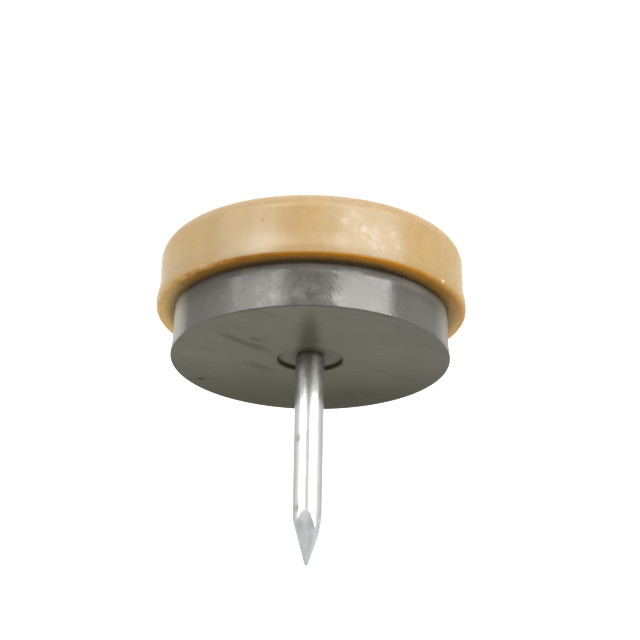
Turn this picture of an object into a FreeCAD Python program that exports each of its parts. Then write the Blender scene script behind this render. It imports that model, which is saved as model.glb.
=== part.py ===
import FreeCAD, Part
import os
import Sketcher

# Nail-on furniture glide: a moulded base cup, a rubber cushion seated in it, and a steel nail whose head
# is trapped between the two. Millimetres. The floor face lies on z = 0, the nail points along +Z, and every
# round form is turned about the Z axis.

PARTS_FOLDER = "parts"
FACET_COUNT = 4
GRIP_RING_COUNT = 5

# Driving sizes of the glide: alias, value and meaning. Lengths are in millimetres and angles in degrees.
DRIVING_SIZES = (
    ("lip_radius", 14.30, "widest radius of the base, along its lip"),
    ("lip_reach", 0.28, "how far the lip stands out from the base side"),
    ("side_draft", 0.14, "how much the base side narrows from its flare down to the floor"),
    ("flare_height", 4.50, "height where the base side starts to flare"),
    ("flare_rise", 1.25, "rise of the flare from the base side to the lip's straight band"),
    ("lip_band", 0.87, "height of the lip's straight band"),
    ("rim_drop", 0.06, "fall of the sloping rim from the lip in to the cushion"),
    ("floor_edge_round", 2.00, "rounding of the edge that slides on the floor"),
    ("flare_blend", 4.00, "blend between the base side and its flare"),
    ("lip_blend", 2.00, "blend between the flare and the lip"),
    ("lip_round", 0.42, "rounding of the lip's upper edge"),
    ("rim_inner_round", 0.06, "rounding of the rim's inner edge"),
    ("floor_thickness", 2.20, "thickness of the base floor"),
    ("cup_inset", 1.81, "distance from the lip in to the foot of the cup wall"),
    ("cup_corner_round", 0.40, "fillet inside the cup between wall and floor"),
    ("cushion_clearance", 0.04, "gap all round between the cushion and the cup wall"),
    ("cushion_thickness", 8.90, "thickness of the cushion from the cup floor to the leg face"),
    ("cushion_taper", 0.25, "how much the cushion widens from the cup floor to its waist"),
    ("spread_height", 1.50, "height of the spread below the leg face"),
    ("spread_reach", 0.22, "how far the leg face spreads beyond the waist"),
    ("cushion_foot_round", 0.60, "rounding of the cushion's lower edge"),
    ("waist_blend", 10.00, "blend between the cushion's side and its spread"),
    ("leg_face_round", 0.12, "rounding of the leg face's outer edge"),
    ("recess_radius", 3.05, "radius of the shallow recess round the nail"),
    ("recess_depth", 0.30, "depth of the shallow recess round the nail"),
    ("nail_radius", 1.34, "radius of the nail's shank"),
    ("nail_length", 29.90, "length of the nail from the back of its head to its tip"),
    ("head_radius", 3.00, "radius of the nail's head"),
    ("head_thickness", 1.00, "thickness of the nail's head, sunk flush in the base floor"),
    ("head_edge_round", 0.20, "rounding of the nail head's edges"),
    ("head_clearance", 0.10, "gap round the nail head in its seat"),
    ("neck_round", 0.10, "fillet between the nail's head and shank"),
    ("neck_clearance", 0.06, "gap between the neck fillet and the cushion's nail hole"),
    ("grip_start", 1.80, "distance from the head's face to the first ring that the heading die left"),
    ("grip_pitch", 1.60, "distance from one grip ring to the next"),
    ("grip_width", 0.70, "width of a grip ring along the nail"),
    ("grip_depth", 0.20, "depth of a grip ring in the shank"),
    ("point_length", 4.80, "length of the diamond point along the nail"),
    ("tip_width", 0.30, "width of the blunt end of the diamond point"),
    ("point_turn", 10.00, "turn of the diamond point's facets about the nail"),
)

# Places worked out from the driving sizes, as radii and heights.
AXIS = "0"
FLOOR = "0"
CUP_FLOOR = "Sizes.floor_thickness"
HEAD_BACK = "(Sizes.floor_thickness - Sizes.head_thickness)"
FLARE_RADIUS = "(Sizes.lip_radius - Sizes.lip_reach)"
FOOT_RADIUS = f"({FLARE_RADIUS} - Sizes.side_draft)"
LIP_HEIGHT = "(Sizes.flare_height + Sizes.flare_rise)"
LIP_TOP = f"({LIP_HEIGHT} + Sizes.lip_band)"
RIM_EDGE = f"({LIP_TOP} - Sizes.rim_drop)"
LEG_FACE = f"({CUP_FLOOR} + Sizes.cushion_thickness)"
WAIST_HEIGHT = f"({LEG_FACE} - Sizes.spread_height)"
RECESS_FLOOR = f"({LEG_FACE} - Sizes.recess_depth)"
CUP_FOOT_RADIUS = "(Sizes.lip_radius - Sizes.cup_inset)"
CUSHION_FOOT_RADIUS = f"({CUP_FOOT_RADIUS} - Sizes.cushion_clearance)"
WAIST_RADIUS = f"({CUSHION_FOOT_RADIUS} + Sizes.cushion_taper)"
LEG_FACE_RADIUS = f"({WAIST_RADIUS} + Sizes.spread_reach)"
SIDE_SLOPE = f"(Sizes.cushion_taper / ({WAIST_HEIGHT} - {CUP_FLOOR}))"
CUP_MOUTH_RADIUS = f"({CUP_FOOT_RADIUS} + {SIDE_SLOPE} * ({RIM_EDGE} - {CUP_FLOOR}))"
SEAT_RADIUS = "(Sizes.head_radius + Sizes.head_clearance)"
NAIL_HOLE_RADIUS = "(Sizes.nail_radius + Sizes.neck_round + Sizes.neck_clearance)"
GRIP_RADIUS = "(Sizes.nail_radius - Sizes.grip_depth)"
TIP = f"({HEAD_BACK} + Sizes.nail_length)"
POINT_START = f"({TIP} - Sizes.point_length)"
PAST_TIP = f"({TIP} + Sizes.nail_radius)"


def fill_sheet(document):
    """Write every driving size to the sheet, with its meaning beside it."""
    sheet = document.addObject("Spreadsheet::Sheet", "Sizes")
    for row, (alias, value, meaning) in enumerate(DRIVING_SIZES, start=1):
        sheet.set(f"A{row}", meaning)
        sheet.set(f"B{row}", str(value))
        sheet.setAlias(f"B{row}", alias)
    document.recompute()


def size_of(owner, expression):
    """Value of an expression on the sheet's sizes, as a plain number."""
    result = owner.evalExpression(expression)
    return float(getattr(result, "Value", result))


def origin_feature(body, role):
    """Plane or axis of the body's own origin."""
    return next(feature for feature in body.Origin.OriginFeatures if feature.Role == role)


def hold(sketch, kind, name, targets, expression):
    """Add a named dimension to the sketch and bind it to an expression."""
    index = sketch.addConstraint(Sketcher.Constraint(kind, *targets, size_of(sketch, expression)))
    sketch.renameConstraint(index, name)
    sketch.setExpression(f"Constraints.{name}", expression)


def hold_corner(sketch, corner, radius, height):
    """Hold a corner to its radius and height, or to the axis or the floor line where one is zero."""
    if radius == AXIS:
        sketch.addConstraint(Sketcher.Constraint("PointOnObject", corner, 1, -2))
    else:
        hold(sketch, "DistanceX", f"radius_{corner}", (-1, 1, corner, 1), radius)
    if height == FLOOR:
        sketch.addConstraint(Sketcher.Constraint("PointOnObject", corner, 1, -1))
    else:
        hold(sketch, "DistanceY", f"height_{corner}", (-1, 1, corner, 1), height)


def round_corner(sketch, corner, rounding):
    """Round a corner with a tangent arc, and keep the sharp corner as the point that is held."""
    sketch.fillet(corner, 1, size_of(sketch, rounding), True, True)
    curves = enumerate(sketch.Geometry)
    newest_arc = max(index for index, curve in curves if isinstance(curve, Part.ArcOfCircle))
    hold(sketch, "Radius", f"rounding_{corner}", (newest_arc,), rounding)


def add_outline(body, name, corners):
    """Closed outline on the body's XZ plane through (radius, height) corners, some with a rounding."""
    sketch = body.newObject("Sketcher::SketchObject", name)
    sketch.AttachmentSupport = (origin_feature(body, "XZ_Plane"), [""])
    sketch.MapMode = "FlatFace"
    points = []
    for radius, height, *_ in corners:
        points.append(FreeCAD.Vector(size_of(sketch, radius), size_of(sketch, height), 0))
    following = points[1:] + points[:1]
    for start, end in zip(points, following):
        sketch.addGeometry(Part.LineSegment(start, end), False)
    for corner in range(len(corners)):
        before = (corner - 1) % len(corners)
        sketch.addConstraint(Sketcher.Constraint("Coincident", before, 2, corner, 1))
    for corner, (radius, height, *_) in enumerate(corners):
        hold_corner(sketch, corner, radius, height)
    for corner, (_, _, *rounding) in enumerate(corners):
        for size in rounding:
            round_corner(sketch, corner, size)
    return sketch


def add_turning(body, name, corners):
    """Solid of revolution about Z from an outline."""
    outline = add_outline(body, f"{name}Outline", corners)
    turning = body.newObject("PartDesign::Revolution", name)
    turning.Profile = outline
    turning.ReferenceAxis = (outline, ["V_Axis"])
    turning.Angle = 360
    body.Document.recompute()
    return turning


def add_body(document, label):
    """Empty body whose label names its file."""
    body = document.addObject("PartDesign::Body", label)
    body.Label = label
    return body


def make_glide_base(document):
    """Moulded cup: rounded sliding edge, flared lip, sloping rim, cushion seat and nail head seat."""
    body = add_body(document, "glide_base")
    add_turning(body, "BaseTurning", [
        (AXIS, FLOOR),
        (FOOT_RADIUS, FLOOR, "Sizes.floor_edge_round"),
        (FLARE_RADIUS, "Sizes.flare_height", "Sizes.flare_blend"),
        ("Sizes.lip_radius", LIP_HEIGHT, "Sizes.lip_blend"),
        ("Sizes.lip_radius", LIP_TOP, "Sizes.lip_round"),
        (CUP_MOUTH_RADIUS, RIM_EDGE, "Sizes.rim_inner_round"),
        (CUP_FOOT_RADIUS, CUP_FLOOR, "Sizes.cup_corner_round"),
        (SEAT_RADIUS, CUP_FLOOR),
        (SEAT_RADIUS, HEAD_BACK),
        (AXIS, HEAD_BACK),
    ])
    return body


def make_cushion(document):
    """Rubber disc that stands in the cup: spreading side, nail hole and shallow recess in the leg face."""
    body = add_body(document, "cushion")
    add_turning(body, "CushionTurning", [
        (NAIL_HOLE_RADIUS, CUP_FLOOR),
        (CUSHION_FOOT_RADIUS, CUP_FLOOR, "Sizes.cushion_foot_round"),
        (WAIST_RADIUS, WAIST_HEIGHT, "Sizes.waist_blend"),
        (LEG_FACE_RADIUS, LEG_FACE, "Sizes.leg_face_round"),
        ("Sizes.recess_radius", LEG_FACE),
        ("Sizes.recess_radius", RECESS_FLOOR),
        (NAIL_HOLE_RADIUS, RECESS_FLOOR),
    ])
    return body


def grip_ring_corners(ring):
    """Outline corners of one shallow grip ring in the shank, from the head upward."""
    bottom = f"({CUP_FLOOR} + Sizes.grip_start + {ring} * Sizes.grip_pitch)"
    top = f"({bottom} + Sizes.grip_width)"
    return [
        ("Sizes.nail_radius", bottom),
        (GRIP_RADIUS, bottom),
        (GRIP_RADIUS, top),
        ("Sizes.nail_radius", top),
    ]


def make_nail(document):
    """Wire nail: flat head in the base floor, grip rings under it, straight shank and diamond point."""
    body = add_body(document, "nail")
    corners = [
        (AXIS, HEAD_BACK),
        ("Sizes.head_radius", HEAD_BACK, "Sizes.head_edge_round"),
        ("Sizes.head_radius", CUP_FLOOR, "Sizes.head_edge_round"),
        ("Sizes.nail_radius", CUP_FLOOR, "Sizes.neck_round"),
    ]
    for ring in range(GRIP_RING_COUNT):
        corners += grip_ring_corners(ring)
    corners += [("Sizes.nail_radius", TIP), (AXIS, TIP)]
    blank = add_turning(body, "NailTurning", corners)

    # One facet is the flat left by a wedge cut from the shank's skin to the blunt tip.
    wedge = add_outline(body, "FacetOutline", [
        ("Sizes.nail_radius", POINT_START),
        ("Sizes.tip_width / 2", TIP),
        ("Sizes.tip_width / 2", PAST_TIP),
        ("Sizes.nail_radius * 2", PAST_TIP),
        ("Sizes.nail_radius * 2", POINT_START),
    ])
    turn = FreeCAD.Rotation(FreeCAD.Vector(0, 1, 0), size_of(wedge, "Sizes.point_turn"))
    wedge.AttachmentOffset = FreeCAD.Placement(FreeCAD.Vector(), turn)
    wedge.setExpression("AttachmentOffset.Rotation.Angle", "Sizes.point_turn")
    facet = body.newObject("PartDesign::Pocket", "Facet")
    facet.Profile = wedge
    facet.SideType = "Symmetric"
    facet.setExpression("Length", "Sizes.nail_radius * 4")
    document.recompute()

    point = body.newObject("PartDesign::PolarPattern", "DiamondPoint")
    point.Originals = [facet]
    point.Axis = (origin_feature(body, "Z_Axis"), [""])
    point.Angle = 360
    point.Occurrences = FACET_COUNT
    body.Tip = point
    document.recompute()
    if not point.Shape.Volume < facet.Shape.Volume < blank.Shape.Volume:
        raise RuntimeError("the diamond point's facets cut nothing")
    return body


def check_document(document, bodies):
    """Stop if any object failed to compute or any solid isn't sound."""
    for item in document.Objects:
        if "Invalid" in item.State or "Error" in item.State:
            raise RuntimeError(f"{item.Name} failed: {item.State}")
    for body in bodies:
        shape = body.Shape
        if shape.isNull() or not shape.isValid() or len(shape.Solids) != 1:
            raise RuntimeError(f"{body.Label} isn't one sound solid")


def main():
    """Build the glide and write one STEP file for each piece."""
    document = FreeCAD.newDocument("NailOnGlide")
    fill_sheet(document)
    bodies = [make_glide_base(document), make_cushion(document), make_nail(document)]
    document.recompute()
    check_document(document, bodies)
    os.makedirs(PARTS_FOLDER, exist_ok=True)
    for body in bodies:
        body.Shape.exportStep(f"{PARTS_FOLDER}/{body.Label}.step")
        box = body.Shape.optimalBoundingBox(False)
        heights = f"{box.ZMin:.2f} to {box.ZMax:.2f} high"
        print(f"{body.Label}: {body.Shape.Volume:.2f} mm3, {box.XLength:.2f} wide, {heights}")


main()
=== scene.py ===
import math

import bmesh
import bpy
from mathutils import Matrix, Vector


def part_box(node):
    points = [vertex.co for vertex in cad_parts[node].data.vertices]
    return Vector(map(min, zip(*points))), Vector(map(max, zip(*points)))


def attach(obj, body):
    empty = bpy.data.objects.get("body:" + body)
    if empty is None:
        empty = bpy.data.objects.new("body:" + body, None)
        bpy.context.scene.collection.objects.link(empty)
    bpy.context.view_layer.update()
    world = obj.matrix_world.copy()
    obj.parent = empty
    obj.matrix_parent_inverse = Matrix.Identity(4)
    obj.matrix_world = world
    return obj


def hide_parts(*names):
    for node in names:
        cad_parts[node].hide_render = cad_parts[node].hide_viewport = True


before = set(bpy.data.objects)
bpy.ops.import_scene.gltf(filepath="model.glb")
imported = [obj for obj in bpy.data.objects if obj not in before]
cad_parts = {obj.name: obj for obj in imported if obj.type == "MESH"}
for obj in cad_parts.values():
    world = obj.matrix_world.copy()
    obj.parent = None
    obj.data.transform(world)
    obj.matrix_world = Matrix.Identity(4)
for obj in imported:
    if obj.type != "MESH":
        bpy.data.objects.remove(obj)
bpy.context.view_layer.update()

bl_info = {
    "name": "Nail-on furniture glide",
    "version": (1, 0, 0),
    "blender": (4, 5, 0),
    "location": "View3D > Sidebar > Glide",
    "description": "Dresses a nail-on furniture glide: moulded base, rubber disc, wire nail and studio",
    "category": "Add Mesh",
}

BODY = "root"
_, BASE_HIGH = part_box("glide_base")
DISC_LOW, DISC_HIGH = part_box("cushion")
NAIL_LOW, NAIL_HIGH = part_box("nail")

# Meshes
TURNING_STEPS = 192
WELD_DISTANCE = 1e-6
CUT_DISTANCE = WELD_DISTANCE / 10
SMOOTH_ANGLE = math.radians(32)

# Shaders
WHITE = (1.0, 1.0, 1.0, 1.0)
NOISE_LOW, NOISE_HIGH = 0.3, 0.7
FLATTENED = 1e6

# Pale scuffs on the base's side: azimuth in degrees, height and reach
SCUFFS = (
    (-16.0, 0.00250, 0.0011), (-18.5, 0.00370, 0.0013), (-22.0, 0.00400, 0.0016),
    (-24.5, 0.00500, 0.0014), (-12.0, 0.00300, 0.0008), (-31.0, 0.00330, 0.0009),
    (-34.0, 0.00480, 0.0009),
)
SCUFF_WEIGHT = 0.7
# Painted highlights: faint pale hazes where the lamps light the base's side: azimuth in degrees, height,
# reach and weight
HIGHLIGHT_HAZES = (
    (20.0, 0.0054, 0.0032, 0.36), (33.0, 0.0040, 0.0060, 0.07),
    (-17.0, 0.0036, 0.0045, 0.13), (-26.0, 0.0044, 0.0042, 0.13),
)
# Speck in the base's side: radius from the axis, azimuth and height
SPECK_PLACE = (0.01398, math.radians(19.0), 0.00295)
# Dark flow marks on the leg face: start, end, half width and weight
FLOW_MARKS = (
    ((0.00860, -0.00640), (0.00560, -0.00330), 0.00070, 0.60),
    ((0.00680, -0.00440), (0.00340, -0.00150), 0.00080, 0.60),
    ((0.00590, -0.00530), (0.00390, -0.00400), 0.00070, 0.45),
    ((0.00640, 0.00060), (0.00290, 0.00350), 0.00090, 0.50),
)
# Olive painted shade on the leg face, in front of the nail as its painted shadow and reflection, and near
# the far edge: start, end, half width and weight
FACE_SHADE_LINES = (
    ((0.0001, -0.0125), (0.0001, 0.0045), 0.0015, 0.95),
    ((0.0020, 0.0112), (-0.0095, 0.0090), 0.0042, 0.85),
)
# Pinch marks on the shank: azimuth in degrees and height
PINCHES = ((41.0, 0.01925), (43.4, 0.02600))
PINCH_RINGS = 9
# Painted reflection stripes on the shank, as white bands: sideways offset, half width and start above the
# leg face
REFLECTION_BANDS = ((-0.0005, 0.00052, -0.0004), (0.0007, 0.00044, 0.0005))
# Softboxes: name, azimuth and elevation in degrees, width, height and radiance
SOFTBOXES = (
    ("left_softbox", 34.0, -32.0, 0.20, 0.46, 2.6),
    ("left_wide_softbox", 52.0, -30.0, 0.37, 0.44, 2.5),
    ("right_softbox", -47.0, -31.0, 0.42, 0.46, 5.2),
    ("right_inner_softbox", -16.0, -31.0, 0.16, 0.46, 1.0),
    ("low_softbox", 0.0, -52.0, 0.40, 0.22, 2.0),
    ("left_panel", 125.0, 14.0, 0.45, 0.45, 2.2),
    ("right_panel", -125.0, 14.0, 0.45, 0.45, 1.6),
)
LAMP_DISTANCE = 0.50
SENSOR_WIDTH = 36.0
CLIP_START, CLIP_END = 0.01, 10.0


def length_property(name, description, default):
    """Property for a size in metres."""
    return bpy.props.FloatProperty(
        name=name, description=description, default=default, unit="LENGTH", precision=5, min=0.0)


def angle_property(name, description, degrees):
    """Property for an angle, given in degrees."""
    return bpy.props.FloatProperty(
        name=name, description=description, default=math.radians(degrees), subtype="ANGLE")


def colour_property(name, description, default):
    """Property for a surface colour, in scene-linear red, green and blue."""
    return bpy.props.FloatVectorProperty(
        name=name, description=description, default=default, subtype="COLOR", size=3, min=0.0, max=1.0)


class BaseSettings(bpy.types.PropertyGroup):
    """Sizes and colours of the moulded base cup."""

    lip_radius: length_property("Lip radius", "Widest radius, along the lip", BASE_HIGH.x)
    lip_reach: length_property("Lip reach", "How far the lip stands out from the side", 0.00028)
    side_draft: length_property("Side draft", "How much the side narrows down to the floor", 0.00014)
    flare_height: length_property("Flare height", "Height where the side starts to flare", 0.0045)
    flare_rise: length_property("Flare rise", "Rise of the flare up to the lip", 0.00125)
    lip_band: length_property("Lip band", "Height of the lip's straight band", 0.00087)
    rim_drop: length_property("Rim drop", "Fall of the rim from the lip to the disc", 0.00006)
    floor_edge: length_property("Floor edge", "Rounding of the edge on the floor", 0.002)
    flare_blend: length_property("Flare blend", "Blend between the side and its flare", 0.004)
    lip_blend: length_property("Lip blend", "Blend between the flare and the lip", 0.002)
    lip_round: length_property("Lip rounding", "Rounding of the lip's upper edge", 0.00042)
    rim_round: length_property("Rim rounding", "Rounding of the rim's inner edge", 0.00003)
    cup_inset: length_property("Cup inset", "Distance from the lip in to the cup wall's foot", 0.00184)
    cup_corner: length_property("Cup corner", "Fillet inside the cup", 0.0004)
    cup_slope: bpy.props.FloatProperty(
        name="Cup slope", description="Widening of the cup wall for each unit of height", default=0.03378)
    seat_radius: length_property("Head seat", "Radius of the seat of the nail's head", 0.0031)
    nib_height: length_property("Nib height", "Height of the tallest flash nib on the lip", 0.00014)
    plastic: colour_property("Plastic", "Colour of the tan plastic", (0.476, 0.336, 0.162))
    # Warm, bright paint on the rim is a painted glow of light through the plastic.
    rim_glow: colour_property("Rim plastic", "Warmer colour of the rim all round", (0.75, 0.52, 0.185))
    # Rich orange for the rim's front is painted shade with a painted glow through the plastic.
    shaded_rim_glow: colour_property("Deep plastic", "Deeper colour of the rim in front", (0.48, 0.212, 0.010))
    rim_spots: colour_property("Rim spots", "Colour of the brown spots on the rim", (0.31, 0.130, 0.028))
    rim_shade: colour_property("Rim shade", "Dull colour of the rim by the disc", (0.20, 0.122, 0.034))
    # Dark brown where rim and disc meet is painted shade.
    seam: colour_property("Seam", "Dark colour of the dirt in the seam round the disc", (0.16, 0.086, 0.024))
    speck: colour_property("Speck", "Colour of the speck moulded into the plastic", (0.22, 0.13, 0.07))
    # Pale paint for the scuffs and the worn floor edge, and for the painted highlight hazes.
    scuff: colour_property("Scuff", "Colour of the pale scuffs on the side", (0.66, 0.58, 0.46))
    nib: colour_property("Nib", "Colour of the thin flash nibs on the lip", (0.76, 0.60, 0.38))


class DiscSettings(bpy.types.PropertyGroup):
    """Sizes and colours of the rubber disc."""

    face_radius: length_property("Face radius", "Radius of the leg face", DISC_HIGH.x)
    spread_reach: length_property("Spread", "How far the leg face spreads beyond the waist", 0.00022)
    spread_height: length_property("Spread height", "Height of the spread below the face", 0.0015)
    taper: length_property("Taper", "How much the side widens from the cup floor to the waist", 0.00025)
    foot_round: length_property("Foot rounding", "Rounding of the lower edge", 0.0006)
    waist_blend: length_property("Waist blend", "Blend between the side and the spread", 0.01)
    face_round: length_property("Face rounding", "Rounding of the face's outer edge", 0.00012)
    recess_radius: length_property("Recess radius", "Radius of the recess round the nail", 0.00305)
    recess_depth: length_property("Recess depth", "Depth of the recess round the nail", 0.0003)
    bore_radius: length_property("Nail bore", "Radius of the bore round the nail", 0.0015)
    hole_radius: length_property("Nail hole", "Radius of the hole's mouth in the recess", 0.00138)
    flap_radius: length_property("Flap radius", "Radius of the thin flap in the nail's grip ring", 0.00118)
    flap_dip: length_property("Flap dip", "Fall of the flap from the mouth to the nail", 0.0001)
    nick_reach: length_property("Nick reach", "Half width of the nick in the face", 0.00036)
    nick_depth: length_property("Nick depth", "Depth of the nick in the face", 0.00016)
    rubber: colour_property("Rubber", "Colour of the grey rubber", (0.044, 0.042, 0.035))
    face_rubber: colour_property("Face rubber", "Colour of the rubber on the face", (0.146, 0.140, 0.108))
    smear: colour_property("Smear", "Colour of the pale smears on the side", (0.110, 0.107, 0.098))
    # The paler line just above the rim is painted light that lifts the shade there.
    painted_fill: colour_property("Dust", "Colour of the dust line just above the rim", (0.24, 0.235, 0.21))
    # Brown on the disc just above the rim is painted shade and a painted reflection of the rim.
    seam: colour_property("Seam", "Colour of the brown dirt along the rim", (0.15, 0.095, 0.045))
    # Olive paint for the shade on the face and on the recess's far wall is painted shade.
    painted_face_shade: colour_property("Stain", "Colour of the olive stains on the face", (0.042, 0.037, 0.016))
    shade_rubber: colour_property("Shaded rubber", "Colour inside the nail hole", (0.19, 0.18, 0.125))
    # Dark paint for the flow marks, and for the painted shade in the nick.
    dark_rubber: colour_property("Dark rubber", "Colour of flow marks and cuts", (0.040, 0.038, 0.028))
    gloss_tint: colour_property("Gloss tint", "Tint of the rubber's gloss", (1.0, 0.992, 0.945))


class NailSettings(bpy.types.PropertyGroup):
    """Sizes and colours of the wire nail."""

    shank_radius: length_property("Shank radius", "Radius of the wire", 0.00134)
    head_radius: length_property("Head radius", "Radius of the head", NAIL_HIGH.x)
    head_thickness: length_property("Head thickness", "Thickness of the head", 0.001)
    head_edge: length_property("Head edge", "Rounding of the head's edges", 0.0002)
    neck_round: length_property("Neck fillet", "Fillet between head and shank", 0.0001)
    grip_start: length_property("Grip start", "Distance from the head to the first grip ring", 0.0018)
    grip_pitch: length_property("Grip pitch", "Distance between grip rings", 0.0016)
    grip_width: length_property("Grip width", "Width of a grip ring", 0.0007)
    grip_depth: length_property("Grip depth", "Depth of a grip ring", 0.0002)
    grip_count: bpy.props.IntProperty(name="Grip rings", description="Rings left by the die", default=5)
    point_length: length_property("Point length", "Length of the diamond point", 0.0048)
    tip_width: length_property("Tip width", "Width of the blunt tip", 0.0003)
    point_turn: angle_property("Point turn", "Turn of the facets about the nail", 10.0)
    facet_count: bpy.props.IntProperty(name="Facets", description="Facets of the point", default=4)
    pinch_reach: length_property("Pinch reach", "Reach of a pinch mark on the shank", 0.00040)
    pinch_depth: length_property("Pinch depth", "Depth of a pinch mark on the shank", 0.000012)
    steel: colour_property("Steel", "Colour of the bright steel", (0.73, 0.735, 0.725))
    cut_steel: colour_property("Cut steel", "Colour of the point's cut facets", (0.75, 0.785, 0.825))
    # White for the bands near the nail's foot is a painted reflection.
    bloom: colour_property("Bloom", "Colour of the white bloom near the nail's foot", (0.86, 0.86, 0.83))
    # Dull dark paint for the pinch smudges, and for the painted shade at the nail's foot.
    grime_and_foot_shade: colour_property("Grime", "Colour of the dull ring at the nail's foot", (0.11, 0.105, 0.075))


class StageSettings(bpy.types.PropertyGroup):
    """Camera, lamps and floor."""

    view_elevation: angle_property("View elevation", "Camera angle above the floor", 22.15)
    view_roll: angle_property(
        "View roll", "Turn of the camera about its own axis; the nail hangs down in the view", 181.1)
    view_distance: length_property("View distance", "Distance from the camera to its target", 0.4618)
    lens: bpy.props.FloatProperty(
        name="Lens", description="Focal length on a 36 mm sensor", default=281.25,
        subtype="DISTANCE_CAMERA")
    target: bpy.props.FloatVectorProperty(
        name="Target", description="Point that the camera looks at",
        default=(-0.00084, 0.000364, 0.007044), subtype="TRANSLATION", unit="LENGTH")
    floor_radius: length_property("Floor radius", "Radius of the floor sheet", 1.2)
    floor_colour: colour_property("Floor", "Colour of the floor", (0.90, 0.90, 0.90))
    floor_glow: bpy.props.FloatProperty(
        name="Floor glow", description="Light of the floor sheet", default=0.82)
    overhead: colour_property("Overhead", "Tint of the light from above in reflections", (1.0, 0.985, 0.86))
    front_fill: bpy.props.FloatProperty(
        name="Front fill", description="Even light from the camera's side", default=0.54)
    back_fill: bpy.props.FloatProperty(
        name="Back fill", description="Even light from behind the glide", default=0.9)


def outline_turn(before, corner, after):
    """Angle through which an outline turns at a corner."""
    incoming = Vector((corner[0] - before[0], corner[1] - before[1]))
    outgoing = Vector((after[0] - corner[0], after[1] - corner[1]))
    return incoming.angle(outgoing)


def ring_edges(mesh, radius, height):
    """Edges of the ring at that radius and height of a turned mesh."""

    def on_ring(vertex):
        across = math.hypot(vertex.co.x, vertex.co.y)
        return abs(across - radius) < WELD_DISTANCE and abs(vertex.co.z - height) < WELD_DISTANCE

    return [edge for edge in mesh.edges if all(on_ring(vertex) for vertex in edge.verts)]


def turned(outline):
    """Mesh turned about Z from an outline of (radius, height, rounding, segments) corners."""
    mesh = bmesh.new()
    corners = [mesh.verts.new((radius, 0.0, height)) for radius, height, *_ in outline]
    for start, end in zip(corners, corners[1:]):
        mesh.edges.new((start, end))
    bmesh.ops.spin(
        mesh, geom=mesh.verts[:] + mesh.edges[:], cent=(0, 0, 0), axis=(0, 0, 1),
        angle=math.tau, steps=TURNING_STEPS, use_merge=True)
    bmesh.ops.remove_doubles(mesh, verts=mesh.verts[:], dist=WELD_DISTANCE)
    for before, corner, after in zip(outline, outline[1:], outline[2:]):
        radius, height, rounding, segments = corner
        if rounding:
            reach = rounding * math.tan(outline_turn(before, corner, after) / 2)
            bmesh.ops.bevel(
                mesh, geom=ring_edges(mesh, radius, height), offset=reach, offset_type="OFFSET",
                segments=segments, profile=0.5, affect="EDGES", material=-1)
    bmesh.ops.recalc_face_normals(mesh, faces=mesh.faces[:])
    return mesh


def dent(mesh, centre, reach, shift):
    """Move the vertices near a point by a shift that fades out smoothly at its reach."""
    for vertex in mesh.verts:
        nearness = 1.0 - (vertex.co - centre).length / reach
        if nearness > 0.0:
            vertex.co += shift * (nearness * nearness * (3.0 - 2.0 * nearness))


def subdivide_near(mesh, centre, reach, cuts):
    """Divide the faces near a point more finely."""
    near = [face for face in mesh.faces if (face.calc_center_median() - centre).length < reach]
    edges = {edge for face in near for edge in face.edges}
    bmesh.ops.subdivide_edges(mesh, edges=list(edges), cuts=cuts, use_grid_fill=True)


def bisect(mesh, point, normal, **options):
    """Cut the whole mesh with a plane."""
    return bmesh.ops.bisect_plane(
        mesh, geom=mesh.verts[:] + mesh.edges[:] + mesh.faces[:], plane_co=point, plane_no=normal,
        dist=CUT_DISTANCE, **options)


def cut_rings(mesh, height, reach, count):
    """Cut evenly spaced level rings round a height."""
    for step in range(count):
        level = height + reach * (2.0 * step / (count - 1) - 1.0)
        bisect(mesh, (0, 0, level), (0, 0, 1))


def around(radius, azimuth, height):
    """Point at an azimuth that is counted from the front, on the -Y side, toward +X."""
    return Vector((radius * math.sin(azimuth), -radius * math.cos(azimuth), height))


def finish_piece(mesh, name, node, material):
    """Turn the mesh into the piece that stands for a CAD node."""
    data = bpy.data.meshes.new(name)
    mesh.to_mesh(data)
    mesh.free()
    data.shade_smooth()
    data.set_sharp_from_angle(angle=SMOOTH_ANGLE)
    data.materials.append(material)
    piece = bpy.data.objects.new(name, data)
    bpy.context.scene.collection.objects.link(piece)
    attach(piece, BODY)
    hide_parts(node)


def add(tree, kind, sockets=None, **attributes):
    """Add a shader node, and set or link its inputs, which are named or numbered."""
    made = tree.nodes.new(kind)
    for name, value in attributes.items():
        setattr(made, name, value)
    for key, value in (sockets or {}).items():
        if isinstance(value, bpy.types.NodeSocket):
            tree.links.new(value, made.inputs[key])
        else:
            made.inputs[key].default_value = value
    return made


def set_sockets(shader, values):
    """Give sockets of the shader one value all over the surface."""
    for name, value in values.items():
        shader.inputs[name].default_value = value


def axes(tree, vector):
    """The X, Y and Z of a vector."""
    made = add(tree, "ShaderNodeSeparateXYZ", {"Vector": vector})
    return made.outputs["X"], made.outputs["Y"], made.outputs["Z"]


def noise(tree, vector, scale, detail, roughness=0.5):
    """Noise value on a vector."""
    sockets = {"Vector": vector, "Scale": scale, "Detail": detail, "Roughness": roughness}
    return add(tree, "ShaderNodeTexNoise", sockets).outputs["Fac"]


def ramp(tree, value, low, high, start=0.0, end=1.0):
    """Value mapped smoothly from one range to another, and kept inside it."""
    sockets = {"Value": value, "From Min": low, "From Max": high, "To Min": start, "To Max": end}
    return add(tree, "ShaderNodeMapRange", sockets, interpolation_type="SMOOTHSTEP").outputs["Result"]


def varied(tree, pattern, start, end):
    """The usual spread of a noise mapped to a range."""
    return ramp(tree, pattern, NOISE_LOW, NOISE_HIGH, start, end)


def calculate(tree, operation, first, second=0.0):
    """Result of one sum on one or two values."""
    return add(tree, "ShaderNodeMath", {0: first, 1: second}, operation=operation).outputs[0]


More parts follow.
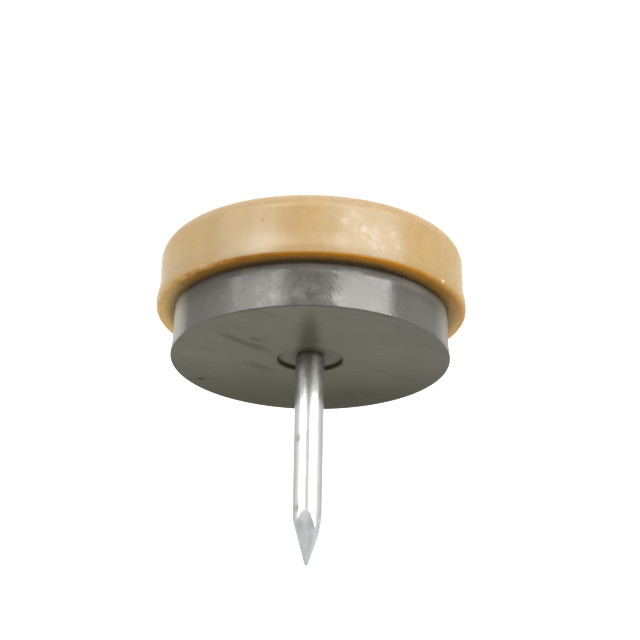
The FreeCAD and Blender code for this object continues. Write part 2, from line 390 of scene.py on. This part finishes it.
def product(tree, first, *others):
    """Product of two or more values."""
    for other in others:
        first = calculate(tree, "MULTIPLY", first, other)
    return first


def blend_colours(tree, factor, first, second):
    """Colour between two colours."""
    return add(tree, "ShaderNodeMix", {0: factor, 6: first, 7: second}, data_type="RGBA").outputs[2]


def blend_values(tree, factor, first, second):
    """Value between two values."""
    return add(tree, "ShaderNodeMix", {0: factor, 2: first, 3: second}, data_type="FLOAT").outputs[0]


def opaque(colour):
    """Colour with full alpha."""
    return (*colour, 1.0)


def painted(tree, colour, weight, paint):
    """Colour with a paint laid over it by weight."""
    return blend_colours(tree, weight, colour, opaque(paint))


def toned(tree, colour, value, saturation=1.0):
    """Colour made lighter or darker, and stronger or duller."""
    sockets = {"Color": colour, "Value": value, "Saturation": saturation}
    return add(tree, "ShaderNodeHueSaturation", sockets).outputs["Color"]


def scaled(tree, vector, scale, turn=0.0, centre=(0.0, 0.0, 0.0)):
    """Coordinates counted from a centre, turned about Z and stretched along the axes."""
    sockets = {"Vector": vector, "Location": centre, "Rotation": (0.0, 0.0, turn), "Scale": scale}
    return add(tree, "ShaderNodeMapping", sockets, vector_type="TEXTURE").outputs["Vector"]


def length_of(tree, vector):
    """Length of a vector."""
    return add(tree, "ShaderNodeVectorMath", {0: vector}, operation="LENGTH").outputs["Value"]


def from_axis(tree, position):
    """Distance of the surface from the glide's axis."""
    return length_of(tree, scaled(tree, position, (1.0, 1.0, FLATTENED)))


def near_point(tree, vector, point, inner, outer):
    """One near a point, fading to zero."""
    made = add(tree, "ShaderNodeVectorMath", {0: vector, 1: point}, operation="DISTANCE")
    return ramp(tree, made.outputs["Value"], inner, outer, 1.0, 0.0)


def near_line(tree, vector, start, end, half_width):
    """One along a line between two points, fading to zero across its half width and past its ends."""
    line = Vector(end) - Vector(start)
    middle = (Vector(end) + Vector(start)) / 2
    stretch = (line.length * 0.6, half_width, half_width)
    offset = scaled(tree, vector, stretch, math.atan2(line.y, line.x), middle)
    return ramp(tree, length_of(tree, offset), 0.2, 1.0, 1.0, 0.0)


def new_material(name):
    """Material with a Principled shader, and the coordinates that its patterns use."""
    material = bpy.data.materials.new(name)
    material.use_nodes = True
    tree = material.node_tree
    shader = tree.nodes["Principled BSDF"]
    position = add(tree, "ShaderNodeTexCoord").outputs["Object"]
    return material, tree, shader, position


def add_bump(tree, shader, height, strength, distance):
    """Give the shader a fine relief."""
    bump = add(tree, "ShaderNodeBump", {"Strength": strength, "Distance": distance, "Height": height})
    tree.links.new(bump.outputs["Normal"], shader.inputs["Normal"])


def tan_wall(tree, position, settings):
    """Colour of the base's side: cloudy pigment, upright streaks, painted shading, scuffs, painted highlight
    hazes and a worn floor edge.
    """
    x, _, z = axes(tree, position)
    cloud = noise(tree, position, 170.0, 3.0)
    streaks = noise(tree, scaled(tree, position, (0.0007, 0.0007, 0.005)), 1.0, 2.0)
    under_flare, on_flare = settings.flare_height - 0.0003, settings.flare_height + 0.0007
    # Cloudy and streaky pigment times painted shading: darker above the flare and by the floor, lighter near
    # the middle, darker toward -X.
    pigment_and_shading = product(
        tree, varied(tree, cloud, 0.97, 1.03), varied(tree, streaks, 0.975, 1.025),
        ramp(tree, z, under_flare, on_flare, 1.0, 0.91), ramp(tree, z, 0.0022, 0.0004, 1.0, 0.92),
        ramp(tree, calculate(tree, "ABSOLUTE", x), 0.001, 0.006, 1.05, 1.0),
        ramp(tree, x, 0.0, -0.009, 1.0, 0.93))
    strength = product(tree, varied(tree, cloud, 0.97, 1.03), ramp(tree, x, -0.007, -0.011, 1.0, 1.07))
    colour = toned(tree, opaque(settings.plastic), pigment_and_shading, strength)
    side_radius = settings.lip_radius - settings.lip_reach
    ragged = ramp(tree, noise(tree, position, 1500.0, 4.0, 0.7), 0.40, 0.66)
    for degrees, height, reach in SCUFFS:
        centre = around(side_radius, math.radians(degrees), height)
        scuff = product(tree, near_point(tree, position, centre, 0.0, reach), ragged, SCUFF_WEIGHT)
        colour = painted(tree, colour, scuff, settings.scuff)
    # Pale hazes over the lit patches of the side are painted highlights.
    for degrees, height, reach, weight in HIGHLIGHT_HAZES:
        centre = around(side_radius, math.radians(degrees), height)
        painted_highlight = product(tree, near_point(tree, position, centre, 0.0, reach), weight)
        colour = painted(tree, colour, painted_highlight, settings.scuff)
    floor_wear = ramp(tree, z, 0.0020, 0.0, 0.0, 0.20)
    return painted(tree, colour, floor_wear, settings.scuff)


def tan_rim(tree, position, settings, rim_start, wall):
    """Colour of the wall with the rim laid over it: painted glow, richer painted shade and glow in front,
    brown spots, and painted shade along the disc.
    """
    x, y, z = axes(tree, position)
    sideways = calculate(tree, "ABSOLUTE", x)
    across = from_axis(tree, position)
    lip = settings.lip_radius
    forward = calculate(tree, "ADD", product(tree, y, 0.98), product(tree, x, 0.17))
    in_front = ramp(tree, forward, 0.002, -0.008)
    turned_in = ramp(tree, z, rim_start, rim_start + 0.00015)
    at_sides = calculate(
        tree, "MAXIMUM", ramp(tree, x, 0.006, 0.011), ramp(tree, x, -0.0095, -0.0125))
    soft_edge = ramp(tree, across, lip - 0.0001, lip - 0.0007, 0.35, 1.0)
    on_rim = product(tree, turned_in, blend_values(tree, at_sides, 1.0, soft_edge))
    # The rim is painted warmer all round: a painted glow of light through the plastic.
    colour = painted(tree, wall, on_rim, settings.rim_glow)
    # In front the rim is painted a rich orange, darker toward +X: painted shade with a painted glow through
    # the plastic.
    shaded_glow_colour = toned(tree, opaque(settings.shaded_rim_glow), ramp(tree, x, -0.008, 0.009, 1.06, 0.84))
    colour = blend_colours(tree, product(tree, on_rim, in_front), colour, shaded_glow_colour)
    spots = product(
        tree, ramp(tree, noise(tree, position, 900.0, 3.0, 0.6), 0.45, 0.62),
        ramp(tree, x, -0.004, 0.008, 0.15, 0.75), turned_in, in_front)
    colour = painted(tree, colour, spots, settings.rim_spots)
    shade = product(
        tree, ramp(tree, across, lip - 0.0005, lip - 0.0012),
        ramp(tree, sideways, 0.005, 0.011, 0.8, 0.4), turned_in)
    colour = painted(tree, colour, shade, settings.rim_shade)
    # Darker still next to the disc: painted shade where rim and disc meet.
    seam = product(
        tree, ramp(tree, across, lip - 0.0010, lip - 0.0015),
        ramp(tree, sideways, 0.005, 0.011, 0.8, 0.55), ramp(tree, x, -0.005, -0.009, 1.0, 0.5), turned_in)
    return painted(tree, colour, seam, settings.seam)


def tan_plastic(settings, rim_start, nibs):
    """Tan moulded plastic: scuffed wall with painted shade and highlights, a rim with painted glow and
    shade, a speck, pale flash nibs and blotchy gloss.
    """
    material, tree, shader, position = new_material("tan_moulded_plastic")
    x, _, _ = axes(tree, position)
    wall = tan_wall(tree, position, settings)
    colour = tan_rim(tree, position, settings, rim_start, wall)
    speck = near_point(tree, position, around(*SPECK_PLACE), 0.00004, 0.00014)
    colour = painted(tree, colour, speck, settings.speck)
    for nib, reach, height in nibs:
        weight = min(1.0, height / settings.nib_height)
        pale = product(tree, near_point(tree, position, nib, 0.0, reach), weight)
        colour = painted(tree, colour, pale, settings.nib)
    tree.links.new(colour, shader.inputs["Base Color"])

    blotch = noise(tree, position, 700.0, 4.0, 0.6)
    fresh = ramp(tree, blotch, 0.35, 0.65, 0.12, 0.18)
    worn = ramp(tree, blotch, 0.42, 0.60, 0.12, 0.34)
    worn_side = ramp(tree, x, 0.003, -0.002)
    tree.links.new(blend_values(tree, worn_side, fresh, worn), shader.inputs["Roughness"])
    waves = product(tree, blotch, ramp(tree, worn_side, 0.0, 1.0, 0.5, 1.0))
    grain = product(tree, noise(tree, position, 2600.0, 2.0), 0.15)
    add_bump(tree, shader, calculate(tree, "ADD", waves, grain), 0.16, 0.00012)
    set_sockets(shader, {
        "Specular IOR Level": 0.25, "Subsurface Weight": 0.8, "Subsurface Radius": (1.0, 0.60, 0.35),
        "Subsurface Scale": 0.0011})
    return material


def rubber_side(tree, position, settings, rim_height, smear):
    """Colour of the disc's side: pale smears, painted brighter ends, painted brown shade and reflection at
    the rim, and a painted lighter line above it.
    """
    x, _, z = axes(tree, position)
    sideways = calculate(tree, "ABSOLUTE", x)
    smeared = product(tree, ramp(tree, smear, 0.50, 0.66), 0.7)
    colour = painted(tree, opaque(settings.rubber), smeared, settings.smear)
    # The side is painted brighter toward both ends: painted light.
    painted_bright_ends = product(
        tree, ramp(tree, x, -0.0075, -0.0105, 1.0, 1.6), ramp(tree, x, -0.0112, -0.0124, 1.0, 2.4),
        ramp(tree, x, 0.0060, 0.0088, 1.0, 1.3), ramp(tree, x, 0.0110, 0.0124, 1.0, 5.6))
    colour = toned(tree, colour, painted_bright_ends)
    # Brown just above the rim, weaker at the sides: painted shade and a painted reflection of the rim.
    shade_by_rim = product(
        tree, ramp(tree, z, rim_height + 0.00030, rim_height, 0.0, 0.8),
        ramp(tree, sideways, 0.006, 0.011, 1.0, 0.35))
    colour = painted(tree, colour, shade_by_rim, settings.seam)
    # Paler line above the brown band, weaker toward both ends: painted light lifting the shade by the rim.
    painted_fill = product(
        tree, ramp(tree, z, rim_height + 0.00010, rim_height + 0.00035),
        ramp(tree, z, rim_height + 0.00130, rim_height + 0.00055),
        ramp(tree, x, -0.0122, -0.0085, 0.35, 0.9), ramp(tree, x, 0.0040, 0.0100, 1.0, 0.25))
    return painted(tree, colour, painted_fill, settings.painted_fill)


def rubber_face(tree, position, settings, face_height, on_face, colour):
    """Colour of the disc with its face's marks: painted shade colour in the hole, olive painted shade on the
    recess wall and face, and flow marks.
    """
    _, y, _ = axes(tree, position)
    across = from_axis(tree, position)
    hole = ramp(tree, across, settings.hole_radius + 0.00012, settings.hole_radius - 0.00002)
    colour = painted(tree, colour, hole, settings.shade_rubber)
    from_wall = calculate(tree, "ABSOLUTE", calculate(tree, "SUBTRACT", across, settings.recess_radius))
    # The recess's far wall is painted dark: painted shade.
    far_wall_shade = product(
        tree, ramp(tree, from_wall, 0.00008, 0.00038, 1.0, 0.0), ramp(tree, y, 0.0002, 0.0012))
    colour = painted(tree, colour, far_wall_shade, settings.painted_face_shade)
    for start, end, half_width, weight in FLOW_MARKS:
        mark = near_line(tree, position, (*start, face_height), (*end, face_height), half_width)
        colour = painted(tree, colour, product(tree, mark, weight), settings.dark_rubber)
    streaks = noise(tree, scaled(tree, position, (0.006, 0.0011, 0.01), math.radians(-38)), 1.0, 4.0)
    flow = product(tree, ramp(tree, streaks, 0.50, 0.72), on_face, 0.20)
    colour = painted(tree, colour, flow, settings.dark_rubber)
    # The face's far half is painted darker: painted shade.
    far_half_shade = product(tree, ramp(tree, y, -0.003, 0.012), on_face, 0.9)
    colour = painted(tree, colour, far_half_shade, settings.painted_face_shade)
    # Lines of painted shade: the nail's shadow and reflection in front of it, and shade near the far edge.
    for start, end, half_width, weight in FACE_SHADE_LINES:
        painted_face_shade = near_line(tree, position, (*start, face_height), (*end, face_height), half_width)
        colour = painted(tree, colour, product(tree, painted_face_shade, on_face, weight), settings.painted_face_shade)
    return colour


def grey_rubber(settings, face_height, rim_height, nick):
    """Grey moulded rubber: cloudy bloom, smeared gloss and painted light and shade on the side, and a
    marked, satin face with painted shade.
    """
    material, tree, shader, position = new_material("grey_moulded_rubber")
    x, _, z = axes(tree, position)
    on_top = ramp(tree, z, face_height - 0.00008, face_height - 0.00001)
    recess_edge = settings.recess_radius
    in_recess = ramp(tree, from_axis(tree, position), recess_edge, recess_edge - 0.00004)
    on_face = calculate(tree, "MAXIMUM", on_top, in_recess)
    bloom = noise(tree, position, 260.0, 5.0, 0.6)
    calm = calculate(
        tree, "MAXIMUM", ramp(tree, x, 0.0064, 0.0090), ramp(tree, x, -0.0064, -0.0102))
    smear = noise(tree, position, 420.0, 5.0, 0.65)
    smear = blend_values(tree, product(tree, calm, 0.7), smear, 0.50)
    side = rubber_side(tree, position, settings, rim_height, smear)
    colour = painted(tree, side, on_face, settings.face_rubber)
    colour = toned(tree, colour, varied(tree, bloom, 0.90, 1.10))
    colour = rubber_face(tree, position, settings, face_height, on_face, colour)
    # The nick's inner end is painted dark: painted shade in the cut.
    cut = near_point(tree, position, nick, 0.00010, 0.00055)
    colour = painted(tree, colour, cut, settings.dark_rubber)
    tree.links.new(colour, shader.inputs["Base Color"])

    sharp_gloss = ramp(tree, smear, 0.40, 0.60, 0.13, 0.28)
    soft_gloss = ramp(tree, smear, 0.44, 0.56, 0.21, 0.36)
    side_gloss = blend_values(tree, ramp(tree, x, -0.001, 0.002), sharp_gloss, soft_gloss)
    side_gloss = blend_values(tree, calm, side_gloss, varied(tree, bloom, 0.38, 0.50))
    face_gloss = varied(tree, bloom, 0.42, 0.52)
    tree.links.new(blend_values(tree, on_face, side_gloss, face_gloss), shader.inputs["Roughness"])
    grain = product(tree, noise(tree, position, 1900.0, 3.0), 0.15)
    relief = product(
        tree, calculate(tree, "ADD", product(tree, smear, 0.8), grain),
        ramp(tree, on_face, 0.0, 1.0, 1.0, 0.45), ramp(tree, calm, 0.0, 1.0, 1.0, 0.05))
    add_bump(tree, shader, relief, 0.45, 0.00014)
    set_sockets(shader, {"Specular IOR Level": 0.79, "Specular Tint": opaque(settings.gloss_tint)})
    return material


def painted_reflection_bands(tree, position, foot_height):
    """Weight of the flecked white paint in upright bands near the nail's foot: painted reflection stripes.
    """
    x, _, z = axes(tree, position)
    weight = 0.0
    for offset, half_width, start in REFLECTION_BANDS:
        from_middle = calculate(tree, "ABSOLUTE", calculate(tree, "SUBTRACT", x, offset))
        bottom = foot_height + start
        band = product(
            tree, ramp(tree, from_middle, 0.0, half_width, 1.0, 0.0),
            ramp(tree, z, bottom, bottom + 0.0014),
            ramp(tree, z, foot_height + 0.0050, foot_height + 0.0032))
        weight = calculate(tree, "MAXIMUM", weight, band)
    flecks = noise(tree, scaled(tree, position, (0.00022, 0.00022, 0.0007)), 1.0, 3.0)
    return product(tree, weight, ramp(tree, flecks, 0.30, 0.62, 0.55, 1.0))


def bright_steel(settings, foot_height, point_height, pinches):
    """Bright drawn wire: faint lines, cut facets, painted shade at the foot, smudged pinches and painted
    reflection stripes near the foot.
    """
    material, tree, shader, position = new_material("bright_drawn_steel")
    x, _, z = axes(tree, position)
    dull = noise(tree, position, 700.0, 4.0)
    colour = toned(tree, opaque(settings.steel), varied(tree, dull, 0.95, 1.03))
    cuts = noise(tree, scaled(tree, position, (0.0006, 0.0006, 0.0014)), 1.0, 3.0)
    cut_tone = product(
        tree, ramp(tree, cuts, 0.35, 0.65, 0.88, 1.06),
        ramp(tree, z, point_height + 0.0008, point_height + 0.0022, 0.92, 1.0))
    on_point = ramp(tree, z, point_height, point_height + 0.0010)
    colour = blend_colours(tree, on_point, colour, toned(tree, opaque(settings.cut_steel), cut_tone))
    # Darker up from the foot, more toward +X: painted shade.
    painted_foot_shade = product(
        tree, ramp(tree, z, foot_height + 0.0002, foot_height + 0.0042, 0.36, 0.0),
        ramp(tree, x, -0.0006, 0.0008, 0.85, 1.15))
    colour = painted(tree, colour, painted_foot_shade, settings.grime_and_foot_shade)
    # The ring at the foot, down in the hole, is painted dark: painted shade.
    shaded_foot_ring = ramp(tree, z, foot_height, foot_height + 0.0003, 1.0, 0.0)
    colour = painted(tree, colour, product(tree, shaded_foot_ring, 0.45), settings.grime_and_foot_shade)
    for pinch in pinches:
        smudge = product(tree, near_point(tree, position, pinch, 0.00010, 0.00062), 0.42)
        colour = painted(tree, colour, smudge, settings.grime_and_foot_shade)
    # White, less metallic bands near the foot are painted reflection stripes.
    reflection_stripes = painted_reflection_bands(tree, position, foot_height)
    colour = painted(tree, colour, reflection_stripes, settings.bloom)
    tree.links.new(colour, shader.inputs["Base Color"])
    tree.links.new(ramp(tree, reflection_stripes, 0.0, 1.0, 1.0, 0.25), shader.inputs["Metallic"])
    rough_foot = ramp(tree, z, foot_height, foot_height + 0.0085, 0.26, 0.0)
    gloss = calculate(tree, "ADD", varied(tree, dull, 0.08, 0.14), rough_foot)
    tree.links.new(gloss, shader.inputs["Roughness"])
    lines = noise(tree, scaled(tree, position, (0.00025, 0.00025, 0.02)), 1.0, 3.0)
    add_bump(tree, shader, lines, 0.03, 0.00004)
    return material


class GLIDE_OT_build_base(bpy.types.Operator):
    """Build the moulded base cup with its rounded floor edge, flared lip and flash nibs"""

    bl_idname = "glide.build_base"
    bl_label = "Moulded base"

    def execute(self, context):
        sizes = context.scene.glide_base
        flare_radius = sizes.lip_radius - sizes.lip_reach
        lip_height = sizes.flare_height + sizes.flare_rise
        lip_top = lip_height + sizes.lip_band
        rim_top = lip_top - sizes.rim_drop
        rim_start = lip_top - sizes.lip_round * 0.8
        cup_floor = DISC_LOW.z
        cup_foot = sizes.lip_radius - sizes.cup_inset
        cup_mouth = cup_foot + sizes.cup_slope * (rim_top - cup_floor)
        head_back = NAIL_LOW.z
        mesh = turned([
            (0.0, 0.0, 0.0, 0),
            (flare_radius - sizes.side_draft, 0.0, sizes.floor_edge, 14),
            (flare_radius, sizes.flare_height, sizes.flare_blend, 6),
            (sizes.lip_radius, lip_height, sizes.lip_blend, 5),
            (sizes.lip_radius, lip_top, sizes.lip_round, 8),
            (cup_mouth, rim_top, sizes.rim_round, 4),
            (cup_foot, cup_floor, sizes.cup_corner, 4),
            (sizes.seat_radius, cup_floor, 0.0, 0),
            (sizes.seat_radius, head_back, 0.0, 0),
            (0.0, head_back, 0.0, 0),
        ])
        nib_level = lip_top - sizes.lip_round / 2
        # Azimuth in degrees, reach and height of each nib
        nib_places = (
            (44.6, 0.00034, 0.00006), (42.7, 0.00030, 0.00005), (37.2, 0.00024, 0.00004),
            (-56.6, 0.00035, sizes.nib_height))
        nibs = [
            (around(sizes.lip_radius, math.radians(degrees), nib_level), reach, height)
            for degrees, reach, height in nib_places]
        for nib, reach, height in nibs:
            subdivide_near(mesh, nib, 2.0 * reach, 2)
            dent(mesh, nib, reach, nib.normalized() * height)
        finish = tan_plastic(sizes, rim_start, nibs)
        finish_piece(mesh, "moulded_base", "glide_base", finish)
        return {"FINISHED"}


class GLIDE_OT_build_disc(bpy.types.Operator):
    """Build the rubber disc with its spreading side, recess, nail hole and nicked face"""

    bl_idname = "glide.build_disc"
    bl_label = "Rubber disc"

    def execute(self, context):
        sizes = context.scene.glide_disc
        cup_floor = DISC_LOW.z
        leg_face = DISC_HIGH.z
        waist = sizes.face_radius - sizes.spread_reach
        recess_floor = leg_face - sizes.recess_depth
        flap_top = recess_floor - sizes.flap_dip
        flap_bottom = flap_top - sizes.flap_dip
        nick_rings = (0.0124, 0.0120, 0.0116, 0.0112, 0.0108, 0.0104)
        mesh = turned([
            (sizes.flap_radius, flap_top, 0.0, 0),
            (sizes.flap_radius, flap_bottom, 0.0, 0),
            (sizes.bore_radius, flap_bottom, 0.0, 0),
            (sizes.bore_radius, cup_floor, 0.0, 0),
            (waist - sizes.taper, cup_floor, sizes.foot_round, 5),
            (waist, leg_face - sizes.spread_height, sizes.waist_blend, 6),
            (sizes.face_radius, leg_face, sizes.face_round, 4),
            *((radius, leg_face, 0.0, 0) for radius in nick_rings),
            (sizes.recess_radius, leg_face, 0.0, 0),
            (sizes.recess_radius, recess_floor, 0.0, 0),
            (sizes.hole_radius, recess_floor, 0.0, 0),
            (sizes.flap_radius, flap_top, 0.0, 0),
        ])
        nick_end = self.cut_nick(mesh, sizes, leg_face)
        finish = grey_rubber(sizes, leg_face, BASE_HIGH.z, nick_end)
        finish_piece(mesh, "rubber_disc", "cushion", finish)
        return {"FINISHED"}

    def cut_nick(self, mesh, sizes, leg_face):
        """Cut the nick that widens toward its inner end, and return that end."""
        start = Vector((0.01116, 0.00535, leg_face))
        end = Vector((0.01004, 0.00542, leg_face))
        side = Vector((0.00968, 0.00540, leg_face))
        nick_area = 0.0012
        steps = 6
        subdivide_near(mesh, start.lerp(side, 0.5), nick_area, 3)
        for step in range(steps):
            share = step / (steps - 1)
            growth = 0.4 + 0.6 * share
            fall = Vector((0, 0, -sizes.nick_depth * growth / 2))
            dent(mesh, start.lerp(end, share), sizes.nick_reach * growth, fall)
        dent(mesh, side, sizes.nick_reach / 2, Vector((0, 0, -sizes.nick_depth / 2)))
        return end


class GLIDE_OT_build_nail(bpy.types.Operator):
    """Build the wire nail with its head, grip rings, pinch marks and diamond point"""

    bl_idname = "glide.build_nail"
    bl_label = "Wire nail"

    def execute(self, context):
        sizes = context.scene.glide_nail
        back, tip = NAIL_LOW.z, NAIL_HIGH.z
        head_face = back + sizes.head_thickness
        outline = [
            (0.0, back, 0.0, 0),
            (sizes.head_radius, back, sizes.head_edge, 4),
            (sizes.head_radius, head_face, sizes.head_edge, 4),
            (sizes.shank_radius, head_face, sizes.neck_round, 5),
        ]
        for ring in range(sizes.grip_count):
            bottom = head_face + sizes.grip_start + ring * sizes.grip_pitch
            top = bottom + sizes.grip_width
            outline += [
                (sizes.shank_radius, bottom, 0.0, 0),
                (sizes.shank_radius - sizes.grip_depth, bottom, 0.0, 0),
                (sizes.shank_radius - sizes.grip_depth, top, 0.0, 0),
                (sizes.shank_radius, top, 0.0, 0),
            ]
        outline += [(sizes.shank_radius, tip, 0.0, 0), (0.0, tip, 0.0, 0)]
        mesh = turned(outline)
        self.cut_point(mesh, sizes, tip)
        pinches = []
        for degrees, height in PINCHES:
            azimuth = math.radians(degrees)
            pinch = around(sizes.shank_radius, azimuth, height)
            cut_rings(mesh, height, sizes.pinch_reach, PINCH_RINGS)
            dent(mesh, pinch, sizes.pinch_reach, around(-sizes.pinch_depth, azimuth, 0.0))
            pinches.append(pinch)
        finish = bright_steel(sizes, DISC_HIGH.z, tip - sizes.point_length, pinches)
        finish_piece(mesh, "wire_nail", "nail", finish)
        return {"FINISHED"}

    def cut_point(self, mesh, sizes, tip):
        """Cut the facets of the diamond point, and close each cut with one flat face."""
        start = tip - sizes.point_length
        slope = (sizes.shank_radius - sizes.tip_width / 2) / sizes.point_length
        for facet in range(sizes.facet_count):
            azimuth = sizes.point_turn + facet * math.tau / sizes.facet_count
            point = around(sizes.shank_radius, azimuth, start)
            cut = bisect(mesh, point, around(1.0, azimuth, slope), clear_outer=True)
            edges = [item for item in cut["geom_cut"] if isinstance(item, bmesh.types.BMEdge)]
            bmesh.ops.contextual_create(mesh, geom=edges)
        bmesh.ops.recalc_face_normals(mesh, faces=mesh.faces[:])


class GLIDE_OT_build_stage(bpy.types.Operator):
    """Build the floor, lamps, even light and camera"""

    bl_idname = "glide.build_stage"
    bl_label = "Stage"

    def execute(self, context):
        settings = context.scene.glide_stage
        self.build_floor(settings)
        self.build_world(settings)
        self.build_lamps()
        self.build_camera(settings)
        context.scene.view_settings.view_transform = "Standard"
        return {"FINISHED"}

    def build_floor(self, settings):
        """White sheet under the glide that lamps shine through and that keeps a soft shadow."""
        mesh = bmesh.new()
        bmesh.ops.create_circle(mesh, cap_ends=True, radius=settings.floor_radius, segments=96)
        data = bpy.data.meshes.new("floor")
        mesh.to_mesh(data)
        mesh.free()
        floor = bpy.data.objects.new("floor", data)
        bpy.context.scene.collection.objects.link(floor)
        material, tree, shader, _ = new_material("white_floor_sheet")
        set_sockets(shader, {
            "Base Color": opaque(settings.floor_colour), "Roughness": 0.9, "Specular IOR Level": 0.0,
            "Emission Color": WHITE})
        seen = add(tree, "ShaderNodeLightPath").outputs["Is Camera Ray"]
        tree.links.new(product(tree, seen, settings.floor_glow), shader.inputs["Emission Strength"])
        data.materials.append(material)
        floor.visible_shadow = False
        floor.visible_glossy = False

    def build_world(self, settings):
        """Light all round: white to the camera, dimmer above in reflections, and strongest from behind."""
        world = bpy.data.worlds.new("even_light")
        world.use_nodes = True
        tree = world.node_tree
        path = add(tree, "ShaderNodeLightPath")
        x, y, z = axes(tree, add(tree, "ShaderNodeTexCoord").outputs["Generated"])
        sideways = calculate(tree, "ABSOLUTE", x)
        lighting = ramp(tree, y, 0.0, 0.5, settings.front_fill, settings.back_fill)
        before = product(
            tree, ramp(tree, z, -0.30, 0.25, 1.0, 0.65), ramp(tree, sideways, 0.0, 0.3, 0.85, 1.0))
        behind = product(
            tree, ramp(tree, z, -0.20, 0.20, 0.85, 0.42), ramp(tree, sideways, 0.15, 0.65, 1.0, 0.78))
        mirrored = blend_values(tree, ramp(tree, y, -0.2, 0.6), before, behind)
        strength = blend_values(tree, path.outputs["Is Glossy Ray"], lighting, mirrored)
        strength = blend_values(tree, path.outputs["Is Camera Ray"], strength, 1.0)
        overhead = product(tree, ramp(tree, z, 0.0, 0.25), path.outputs["Is Glossy Ray"])
        background = tree.nodes["Background"]
        tree.links.new(painted(tree, WHITE, overhead, settings.overhead), background.inputs["Color"])
        tree.links.new(strength, background.inputs["Strength"])
        bpy.context.scene.world = world

    def build_lamps(self):
        """Softboxes below the floor sheet on each side of the camera, and panels behind."""
        for name, azimuth, elevation, width, height, radiance in SOFTBOXES:
            light = bpy.data.lights.new(name, "AREA")
            light.shape = "RECTANGLE"
            light.size = width
            light.size_y = height
            light.energy = radiance * math.pi * width * height
            lamp = bpy.data.objects.new(name, light)
            rise = math.radians(elevation)
            direction = around(math.cos(rise), math.radians(azimuth), math.sin(rise))
            facing = direction.to_track_quat("Z", "Y").to_matrix().to_4x4()
            lamp.matrix_world = Matrix.Translation(direction * LAMP_DISTANCE) @ facing
            lamp.visible_camera = False
            lamp.visible_glossy = elevation < 0.0
            bpy.context.scene.collection.objects.link(lamp)

    def build_camera(self, settings):
        """Camera on the -Y side, rolled so that the nail hangs down in the picture."""
        data = bpy.data.cameras.new("camera")
        data.sensor_width = SENSOR_WIDTH
        data.lens = settings.lens
        data.clip_start = CLIP_START
        data.clip_end = CLIP_END
        camera = bpy.data.objects.new("camera", data)
        back = around(math.cos(settings.view_elevation), 0.0, math.sin(settings.view_elevation))
        facing = back.to_track_quat("Z", "Y").to_matrix().to_4x4()
        roll = Matrix.Rotation(settings.view_roll, 4, "Z")
        place = Matrix.Translation(Vector(settings.target) + back * settings.view_distance)
        camera.matrix_world = place @ facing @ roll
        bpy.context.scene.collection.objects.link(camera)
        bpy.context.scene.camera = camera


class GLIDE_PT_sidebar(bpy.types.Panel):
    """Buttons that build the glide piece by piece"""

    bl_idname = "GLIDE_PT_sidebar"
    bl_label = "Nail-on glide"
    bl_space_type = "VIEW_3D"
    bl_region_type = "UI"
    bl_category = "Glide"

    def draw(self, context):
        for operator in OPERATORS:
            self.layout.operator(operator.bl_idname)


SETTINGS = {
    "glide_base": BaseSettings,
    "glide_disc": DiscSettings,
    "glide_nail": NailSettings,
    "glide_stage": StageSettings,
}
OPERATORS = (GLIDE_OT_build_base, GLIDE_OT_build_disc, GLIDE_OT_build_nail, GLIDE_OT_build_stage)
CLASSES = (*SETTINGS.values(), *OPERATORS, GLIDE_PT_sidebar)


def register():
    """Register the classes and hang the settings on the scene."""
    for item in CLASSES:
        bpy.utils.register_class(item)
    for name, group in SETTINGS.items():
        setattr(bpy.types.Scene, name, bpy.props.PointerProperty(type=group))


def unregister():
    """Take the settings off the scene and unregister the classes."""
    for name in SETTINGS:
        delattr(bpy.types.Scene, name)
    for item in reversed(CLASSES):
        bpy.utils.unregister_class(item)


def main():
    """Build every piece and the stage."""
    register()
    bpy.ops.glide.build_base()
    bpy.ops.glide.build_disc()
    bpy.ops.glide.build_nail()
    bpy.ops.glide.build_stage()


if __name__ == "__main__":
    main()
